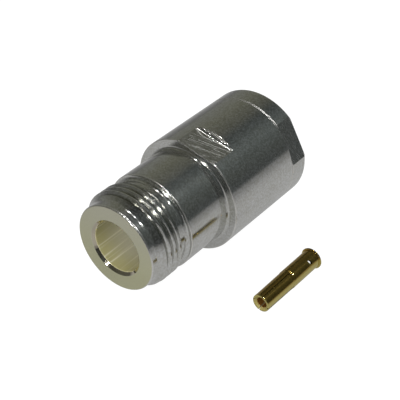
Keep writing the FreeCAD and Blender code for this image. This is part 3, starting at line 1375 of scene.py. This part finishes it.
@dataclass
class ConnectorBody:
    """The turned body with its coupling thread and its pair of wrench flats.

    Along the axis, thread_stop, relief_stop, shoulder_stop and rear are counted from the front face, and
    line_length, bead_rear and clamp_seat from the origin, which lies at the bottom of the mating bore.
    """

    bar: Bar
    depth: float = 9.1
    bore: float = 4.15
    mouth_round: float = 0.5
    mouth_blend: float = 0.15
    nose_radius: float = 7.05
    nose_length: float = 1.15
    nose_round: float = 0.22
    nose_wear: float = 0.27
    crest_radius: float = 7.86
    thread_before_nose_end: float = 0.4
    thread_stop: float = 5.7
    crest_behind_face: float = 3.07
    groove_depth: float = 0.64
    crest_share: float = 0.21
    foot_behind_face: float = 1.42
    foot_angle: float = 31.0
    root_blend: float = 0.14
    foot_blend: float = 0.26
    thread_rows: int = 32
    relief_radius: float = 7.15
    relief_stop: float = 7.9
    relief_fillet: float = 0.62
    barrel_radius: float = 7.94
    barrel_round: float = 0.12
    barrel_wear: float = 0.13
    shoulder_stop: float = 16.45
    shoulder_fillet: float = 0.45
    edge_round: float = 0.12
    edge_wear: float = 0.15
    rear: float = 31.5
    flat_length: float = 4.95
    flat_turn: float = 12.0
    line_radius: float = 3.5
    line_length: float = 2.5
    bead_radius: float = 4.28
    bead_rear: float = 7.8
    braid_radius: float = 5.9
    clamp_seat: float = 10.4
    stack_radius: float = 7.3
    rear_thread_radius: float = 7.94
    rear_thread_length: float = 6.6
    inner_chamfer: float = 0.2
    wall_round: float = 0.07
    flat_bevel: float = 0.08
    run_out: float = 0.6

    def flats(self) -> Flats:
        """Give the pair of wrench flats behind the shoulder.

        Returns:
            The flats.
        """
        start = self.shoulder_stop - self.depth
        return Flats(
            start=start,
            stop=start + self.flat_length,
            half_width=self.bar.across_flats / 2,
            turn=self.flat_turn,
            front_bevel=self.flat_bevel,
            run_out=self.run_out,
        )

    def worn(self) -> list[WornEdge]:
        """Give the edges that are rubbed bright.

        Returns:
            The edges, from the front to the rear.
        """
        return [
            WornEdge(-self.depth, self.nose_radius, self.nose_wear),
            WornEdge(self.relief_stop - self.depth, self.barrel_radius, self.barrel_wear),
            WornEdge(self.shoulder_stop - self.depth, self.bar.radius, self.edge_wear),
            WornEdge(self.rear - self.depth, self.bar.radius),
        ]

    def thread(self) -> Thread:
        """Give the coupling thread.

        Returns:
            The thread, from under the nose's end to the relief.
        """
        face = -self.depth
        fall = self.crest_radius - self.relief_radius
        return Thread(
            start=face + self.nose_length - self.thread_before_nose_end,
            stop=face + self.thread_stop + fall,
            pitch=self.bar.pitch,
            crest_radius=self.crest_radius,
            root_radius=self.crest_radius - self.groove_depth,
            crest_at_top=face + self.crest_behind_face,
            foot_x=face + self.foot_behind_face,
            foot_radius=self.nose_radius,
            lead_slope=math.tan(math.radians(self.foot_angle)),
            end_radius=self.relief_radius,
            end_slope=1.0,
            crest_share=self.crest_share,
            root_blend=self.root_blend,
            foot_blend=self.foot_blend,
            rows=self.thread_rows,
        )

    def corners(self) -> list[Corner]:
        """Give the outline from behind the thread round to the nose in front of it.

        Returns:
            The corners in order.
        """
        face = -self.depth
        rear = self.rear - self.depth
        rear_thread = rear - self.rear_thread_length
        relief = face + self.relief_stop
        shoulder = face + self.shoulder_stop
        wall = shoulder + self.flat_length
        chamfer = self.bar.seam_chamfer
        inner = self.inner_chamfer
        thread = self.thread()
        run_out = [wall - self.run_out * (1.0 - math.sin(step)) for step in RUN_OUT_STEPS]
        return [
            Corner(thread.stop, self.relief_radius),
            Corner(relief, self.relief_radius, self.relief_fillet),
            Corner(relief, self.barrel_radius, self.barrel_round),
            Corner(shoulder, self.barrel_radius, self.shoulder_fillet),
            Corner(shoulder, self.bar.radius, self.edge_round),
            *(Corner(x, self.bar.radius) for x in run_out),
            Corner(wall + self.wall_round, self.bar.radius),
            Corner(rear - chamfer, self.bar.radius),
            Corner(rear, self.bar.radius - chamfer),
            Corner(rear, self.rear_thread_radius + inner),
            Corner(rear - inner, self.rear_thread_radius),
            Corner(rear_thread, self.rear_thread_radius),
            Corner(rear_thread, self.stack_radius),
            Corner(self.clamp_seat, self.stack_radius),
            Corner(self.clamp_seat, self.braid_radius),
            Corner(self.bead_rear, self.braid_radius, inner),
            Corner(self.bead_rear, self.bead_radius + inner),
            Corner(self.bead_rear - inner, self.bead_radius),
            Corner(self.line_length, self.bead_radius),
            Corner(self.line_length, self.line_radius),
            Corner(0.0, self.line_radius, inner / 2),
            Corner(0.0, self.bore),
            Corner(face + self.mouth_round, self.bore, self.mouth_blend),
            Corner(face, self.bore + self.mouth_round, self.mouth_blend),
            Corner(face, self.nose_radius, self.nose_round),
            Corner(thread.start, self.nose_radius),
        ]

    def build(self, material: bpy.types.Material) -> bpy.types.Object:
        """Make the body.

        Args:
            material: its finish.

        Returns:
            The finished piece.
        """
        flats = self.flats()
        piece = TurnedMesh(Outline(self.corners()).rings, flats).link("body_turned")
        self.thread().wind(piece, material)
        finish_mesh(piece, flats, self.bar.radius, self.worn(), material)
        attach(piece, "shell")
        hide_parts("connector_body")
        return piece


@dataclass
class ClampNut:
    """The nut with its threaded tube inside the body and its round head with two flats.

    front and head are counted from the origin, to the tube's front face and to the head's.
    """

    bar: Bar
    front: float = 16.86
    head: float = 22.43
    head_length: float = 3.57
    bore: float = 5.5
    tube_radius: float = 7.89
    start_step: float = 0.02
    start_blend: float = 0.001
    crest_share: float = 0.125
    root_blend: float = 0.20
    thread_rows: int = 20
    edge_round: float = 0.25
    edge_wear: float = 0.27
    mouth_chamfer: float = 0.4
    neck_length: float = 0.5
    flat_turn: float = 60.5

    def flats(self) -> Flats:
        """Give the pair of wrench flats on the head."""
        return Flats(self.head, self.head + self.head_length, self.bar.across_flats / 2, self.flat_turn)

    def thread(self) -> Thread:
        """Give the thread of the tube.

        Returns:
            The thread, which starts a step below its root so that it leaves the front face whole.
        """
        root = self.tube_radius - self.bar.thread_depth
        return Thread(
            start=self.front,
            stop=self.head - self.neck_length,
            pitch=self.bar.pitch,
            crest_radius=self.tube_radius,
            root_radius=root,
            crest_at_top=self.front + self.bar.pitch,
            foot_x=self.front,
            foot_radius=root - self.start_step,
            lead_slope=1.0,
            end_radius=root,
            end_slope=1.0,
            crest_share=self.crest_share,
            root_blend=self.root_blend,
            foot_blend=self.start_blend,
            rows=self.thread_rows,
        )

    def corners(self) -> list[Corner]:
        """Give the outline from behind the thread round to the front face.

        Returns:
            The corners in order.
        """
        rear = self.head + self.head_length
        chamfer = self.bar.seam_chamfer
        thread = self.thread()
        return [
            Corner(thread.stop, thread.end_radius),
            Corner(self.head, thread.end_radius),
            Corner(self.head, self.bar.radius - chamfer),
            Corner(self.head + chamfer, self.bar.radius),
            Corner(rear, self.bar.radius, self.edge_round),
            Corner(rear, self.bore + self.mouth_chamfer),
            Corner(rear - self.mouth_chamfer, self.bore),
            Corner(self.front, self.bore),
            Corner(self.front, thread.foot_radius),
        ]

    def build(self, material: bpy.types.Material) -> bpy.types.Object:
        """Make the nut.

        Args:
            material: its finish.

        Returns:
            The finished piece.
        """
        flats = self.flats()
        piece = TurnedMesh(Outline(self.corners()).rings, flats).link("nut_turned")
        self.thread().wind(piece, material)
        rear = WornEdge(self.head + self.head_length, self.bar.radius, self.edge_wear)
        finish_mesh(piece, flats, self.bar.radius, [WornEdge(self.head, self.bar.radius), rear], material)
        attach(piece, "nut")
        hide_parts("clamp_nut")
        return piece


@dataclass
class PackedPieces:
    """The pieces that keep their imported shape, with the finish of each."""

    finishes: dict[str, PlatedFinish | MouldedFinish]

    def dress(self) -> None:
        """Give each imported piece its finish."""
        for name, finish in self.finishes.items():
            item = frame["nodes"][name]
            item.data.materials.clear()
            item.data.materials.append(finish.build())
            log.info("%s keeps its packed shape, finish %s", name, finish.name)


@dataclass(frozen=True)
class Lamp:
    """A round lamp that faces the connector, with its width in metres and its power in watts."""

    name: str
    direction: Place
    size: float
    power: float
    mirrored: bool = True

    def hang(self, distance: float) -> None:
        """Hang the lamp.

        Args:
            distance: metres from the connector.
        """
        data = bpy.data.lights.new(self.name, "AREA")
        data.shape = "DISK"
        data.size = self.size
        data.energy = self.power
        item = bpy.data.objects.new(self.name, data)
        bpy.context.scene.collection.objects.link(item)
        away = Vector(self.direction).normalized()
        item.location = away * distance
        item.rotation_mode = "QUATERNION"
        item.rotation_quaternion = (-away).to_track_quat("-Z", "Y")
        item.visible_glossy = self.mirrored


@dataclass
class Studio:
    """Camera, white floor, dark room above it and the lamps.

    The eye and floor_z are millimetres, and the floor's other lengths are metres. Its levels are places
    across the connector with the light that it mirrors there. The room's levels are degrees about the
    connector's axis from up, with the colour that it mirrors there.
    """

    eye: Place = (-90.93, -79.82, 93.58)
    ahead: Place = (0.6302, 0.4948, -0.5983)
    lens: float = 92.08
    sensor: float = 36.0
    clip: tuple[float, float] = (0.005, 10.0)
    floor_z: float = -9.525
    floor_size: float = 3.0
    floor_paint: float = 0.12
    floor_fill: float = 0.95
    floor_reach: float = 0.25
    floor_levels: tuple[tuple[float, float], ...] = (
        (-0.25, 0.10),
        (-0.10, 0.10),
        (-0.057, 0.18),
        (-0.038, 0.26),
        (-0.019, 0.32),
        (-0.004, 0.33),
        (0.008, 0.30),
        (0.023, 0.29),
        (0.036, 0.25),
        (0.049, 0.17),
        (0.078, 0.09),
        (0.25, 0.07),
    )
    dark_front: float = -0.075
    dark_stop: float = -0.035
    dark_share: float = 0.25
    room_levels: tuple[tuple[float, Colour], ...] = (
        (-100.0, (0.150, 0.150, 0.142)),
        (-80.0, (0.185, 0.188, 0.170)),
        (-48.0, (0.150, 0.152, 0.120)),
        (-16.0, (0.085, 0.087, 0.070)),
        (1.0, (0.045, 0.053, 0.052)),
        (32.0, (0.100, 0.115, 0.112)),
        (64.0, (0.070, 0.078, 0.074)),
        (84.0, (0.058, 0.064, 0.064)),
        (96.0, (0.09, 0.10, 0.10)),
    )
    dim_from: float = -0.35
    dim_to: float = 0.1
    dim_share: float = 0.55
    plain_light: float = 0.5
    lamp_distance: float = 0.5
    lamps: tuple[Lamp, ...] = (
        Lamp("lamp_1", (0.36, 0.10, 0.93), 0.024, 0.34),
        Lamp("lamp_2", (-0.85, -0.03, 0.53), 0.040, 0.95),
        Lamp("lamp_3", (0.38, -0.48, 0.79), 0.024, 0.34),
        Lamp("lamp_4", (0.37, -0.16, 0.915), 0.014, 0.12),
        Lamp("mouth_lamp", (-0.90, -0.28, 0.24), 0.10, 2.1, mirrored=False),
        Lamp("soft_lamp", (-0.29, -0.36, 0.88), 0.25, 0.6, mirrored=False),
    )

    def place_camera(self) -> None:
        """Put the camera where the photograph was taken from."""
        data = bpy.data.cameras.new("camera")
        data.lens = self.lens
        data.sensor_width = self.sensor
        data.clip_start, data.clip_end = self.clip
        item = bpy.data.objects.new("camera", data)
        bpy.context.scene.collection.objects.link(item)
        ahead = Vector(self.ahead).normalized()
        right = ahead.cross(Vector((0.0, 0.0, 1.0))).normalized()
        up = right.cross(ahead)
        turn = Matrix((right, up, -ahead)).transposed().to_4x4()
        item.matrix_world = Matrix.Translation(Vector(self.eye) * MM) @ turn
        bpy.context.scene.camera = item

    def lay_floor(self) -> None:
        """Lay the floor: white to the camera, paler far from the connector than near it in reflections."""
        half = self.floor_size / 2
        mesh = bpy.data.meshes.new("floor")
        level = self.floor_z * MM
        corners = ((-half, -half), (half, -half), (half, half), (-half, half))
        mesh.from_pydata([(x, y, level) for x, y in corners], [], [(0, 1, 2, 3)])
        item = bpy.data.objects.new("floor", mesh)
        bpy.context.scene.collection.objects.link(item)
        material = bpy.data.materials.new("floor_white")
        material.use_nodes = True
        graph = Graph(material.node_tree)
        x, y, _ = graph.split_xyz(graph.add("ShaderNodeTexCoord").outputs["Object"])
        scale = 0.5 / self.floor_reach
        place = graph.math("MULTIPLY_ADD", y, scale, 0.5)
        stops = [(scale * across + 0.5, (share, share, share)) for across, share in self.floor_levels]
        shade = graph.ramp(place, stops)
        seen = graph.math("MULTIPLY", graph.ray(Ray.CAMERA), self.floor_fill)
        mirrored = graph.math("MAXIMUM", graph.ray(Ray.GLOSSY), graph.ray(Ray.TRANSMISSION))
        dark = graph.spread(x, self.dark_front, self.dark_stop, self.dark_share, 1.0)
        mirrored = graph.math("MULTIPLY", mirrored, dark)
        glow = graph.add("ShaderNodeEmission")
        graph.feed(glow.inputs["Color"], shade)
        graph.feed(glow.inputs["Strength"], mirrored)
        white = graph.add("ShaderNodeEmission")
        graph.feed(white.inputs["Strength"], seen)
        paint = graph.add("ShaderNodeBsdfDiffuse")
        graph.feed(paint.inputs["Color"], (self.floor_paint, self.floor_paint, self.floor_paint, 1.0))
        first = graph.add("ShaderNodeAddShader")
        graph.feed(first.inputs[0], glow.outputs[0])
        graph.feed(first.inputs[1], white.outputs[0])
        both = graph.add("ShaderNodeAddShader")
        graph.feed(both.inputs[0], first.outputs[0])
        graph.feed(both.inputs[1], paint.outputs[0])
        graph.feed(graph.add("ShaderNodeOutputMaterial").inputs[0], both.outputs[0])
        mesh.materials.append(material)

    def make_world(self) -> None:
        """Make the room: white to the camera, a dim gradient in reflections, plain light for the rest."""
        world = bpy.data.worlds.new("room")
        world.use_nodes = True
        bpy.context.scene.world = world
        graph = Graph(world.node_tree)
        x, y, z = graph.split_xyz(graph.add("ShaderNodeTexCoord").outputs["Generated"])
        angle = graph.math("ARCTAN2", graph.math("MULTIPLY", y, -1.0), z)
        place = graph.math("MULTIPLY_ADD", angle, 1.0 / math.tau, 0.5)
        room = graph.ramp(place, [(degrees / 360.0 + 0.5, colour) for degrees, colour in self.room_levels])
        dim = graph.spread(x, self.dim_from, self.dim_to, self.dim_share, 1.0)
        reflected = graph.add("ShaderNodeBackground")
        graph.feed(reflected.inputs["Color"], room)
        graph.feed(reflected.inputs["Strength"], dim)
        plain = graph.add("ShaderNodeBackground")
        graph.feed(plain.inputs["Color"], (1.0, 1.0, 1.0, 1.0))
        more = 1.0 - self.plain_light
        strength = graph.math("MULTIPLY_ADD", graph.ray(Ray.CAMERA), more, self.plain_light)
        graph.feed(plain.inputs["Strength"], strength)
        mixed = graph.add("ShaderNodeMixShader")
        graph.feed(mixed.inputs[0], graph.ray(Ray.GLOSSY))
        graph.feed(mixed.inputs[1], plain.outputs[0])
        graph.feed(mixed.inputs[2], reflected.outputs[0])
        graph.feed(graph.add("ShaderNodeOutputWorld").inputs[0], mixed.outputs[0])

    def build(self) -> None:
        """Set the whole stage."""
        bpy.context.scene.view_settings.view_transform = "Standard"
        self.place_camera()
        self.lay_floor()
        self.make_world()
        for lamp in self.lamps:
            lamp.hang(self.lamp_distance)


NICKEL_TINT: Colour = (0.64, 0.635, 0.60)
PALE_NICKEL_TINT: Colour = (0.66, 0.65, 0.60)
NICKEL_TARNISH: Colour = (0.56, 0.55, 0.47)
SHADE_BEHIND_FOOT = 1.0   # from the foot of the coupling thread's lead back to the full painted shade in its roots
SHADE_BEFORE_STOP = 0.9   # from the end of that painted shade back to the thread's last ring
FLAT_STROKES = (         # behind the front face and across the body's flat: from, to, width, weight
    ((20.70, -3.3), (20.15, -1.6), 0.13, 1.0),
    ((20.15, -1.6), (20.70, 0.9), 0.12, 0.9),
    ((20.70, 0.9), (21.20, 3.6), 0.16, 1.0),
    ((20.95, -3.2), (20.75, -0.4), 0.08, 0.6),
    ((17.50, -1.0), (18.80, 3.0), 0.07, 0.7),
    ((18.20, -2.6), (19.60, 1.7), 0.06, 0.6),
    ((19.05, -1.5), (19.50, 0.2), 0.09, 0.8),
    ((18.30, 1.6), (18.80, 2.8), 0.10, 0.8),
    ((19.10, 1.4), (19.60, 3.2), 0.09, 0.7),
    ((17.00, -2.2), (18.10, 1.6), 0.05, 0.5),
    ((19.60, 0.4), (20.50, 3.4), 0.09, 0.7),
)


def body_finish(body: ConnectorBody) -> PlatedFinish:
    """Give the body's finish.

    Args:
        body: the body, for the sizes that its marks follow.

    Returns:
        The finish.
    """
    flats = body.flats()
    thread = body.thread()
    strokes = tuple(
        Stroke((start[0] - body.depth, -start[1]), (stop[0] - body.depth, -stop[1]), width, weight)
        for start, stop, width, weight in FLAT_STROKES
    )
    return PlatedFinish(
        name="nickel_body",
        tint=NICKEL_TINT,
        tarnish=NICKEL_TARNISH,
        marks=(
            FlatMarks(flats.turn, strokes, flats.stop - flats.run_out),
            # shade painted into the coupling thread's roots
            PaintedRootShade(
                start=thread.foot_x + SHADE_BEHIND_FOOT,
                stop=thread.stop - SHADE_BEFORE_STOP,
                root_radius=thread.root_radius,
            ),
            BoreStainAndReflections(body.bore, -body.depth, body.mouth_round),
        ),
    )


def nut_finish(nut: ClampNut) -> PlatedFinish:
    """Give the nut's finish.

    Args:
        nut: the nut, for the side of its flats.

    Returns:
        The finish.
    """
    return PlatedFinish(
        name="nickel_nut",
        tint=NICKEL_TINT,
        tarnish=NICKEL_TARNISH,
        worn_rough=0.22,
        marks=(FlatMarks(nut.flat_turn),),
    )


def contact_stance() -> Stance:
    """Give the contact's axis, from the place and the direction of its pin socket.

    Returns:
        The stance, with X from the socket's bottom to the solder cup.
    """
    mount = next(item for item in frame["record"]["mounts"] if item["name"] == "pin_socket")
    direction = -Vector(mount["axis"])
    turn = direction.to_track_quat("X", "Z").to_euler()
    return Stance(tuple(value / MM for value in mount["pos_m"]), tuple(turn))


def contact_finish() -> PlatedFinish:
    """Give the finish of the gold contact.

    Returns:
        The finish, which follows the contact's own axis.
    """
    return PlatedFinish(
        name="gold_contact",
        tint=(0.62, 0.53, 0.18),
        tarnish=(0.50, 0.40, 0.12),
        worn_tint=(0.70, 0.60, 0.26),
        light_dot=(0.66, 0.58, 0.24),
        dark_dot=(0.48, 0.38, 0.11),
        dull_share=0.03,
        # its tint is shade painted on the contact's upper side
        marks=(ContactShadeAndGroove(tint=(0.37, 0.25, 0.06), tip_x=-3.615, groove_x=3.035),),
        stance=contact_stance(),
    )


def packed_finishes() -> dict[str, PlatedFinish | MouldedFinish]:
    """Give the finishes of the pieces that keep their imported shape.

    Returns:
        Each finish by the name of its piece.
    """
    return {
        "centre_contact": contact_finish(),
        "braid_clamp": PlatedFinish("nickel_clamp", PALE_NICKEL_TINT, NICKEL_TARNISH, gloss=0.16),
        "clamp_washer": PlatedFinish("nickel_washer", PALE_NICKEL_TINT, NICKEL_TARNISH, gloss=0.2),
        "front_insulator": MouldedFinish(
            name="white_bead",
            colour=(0.93, 0.93, 0.90),
            shade=(0.89, 0.89, 0.85),
            gloss=0.32,
            grain=Pattern(6.0, 3.0, 0.6),
            grain_rise=0.002,
            glow=0.3,
        ),
        "gasket": MouldedFinish(
            name="seal_rubber",
            colour=(0.045, 0.045, 0.048),
            shade=(0.07, 0.07, 0.07),
            gloss=0.5,
            grain=Pattern(9.0, 3.0, 0.6),
            grain_rise=0.004,
        ),
    }


def main() -> None:
    """Build the connector piece by piece, then the stage."""
    logging.basicConfig(level=logging.INFO, format="%(name)s: %(message)s")
    bar = Bar()
    body = ConnectorBody(bar)
    nut = ClampNut(bar)
    for piece in (body.build(body_finish(body).build()), nut.build(nut_finish(nut).build())):
        log.info("%s has %d faces", piece.name, len(piece.data.polygons))
    PackedPieces(packed_finishes()).dress()
    Studio().build()


if __name__ == "__main__":
    main()
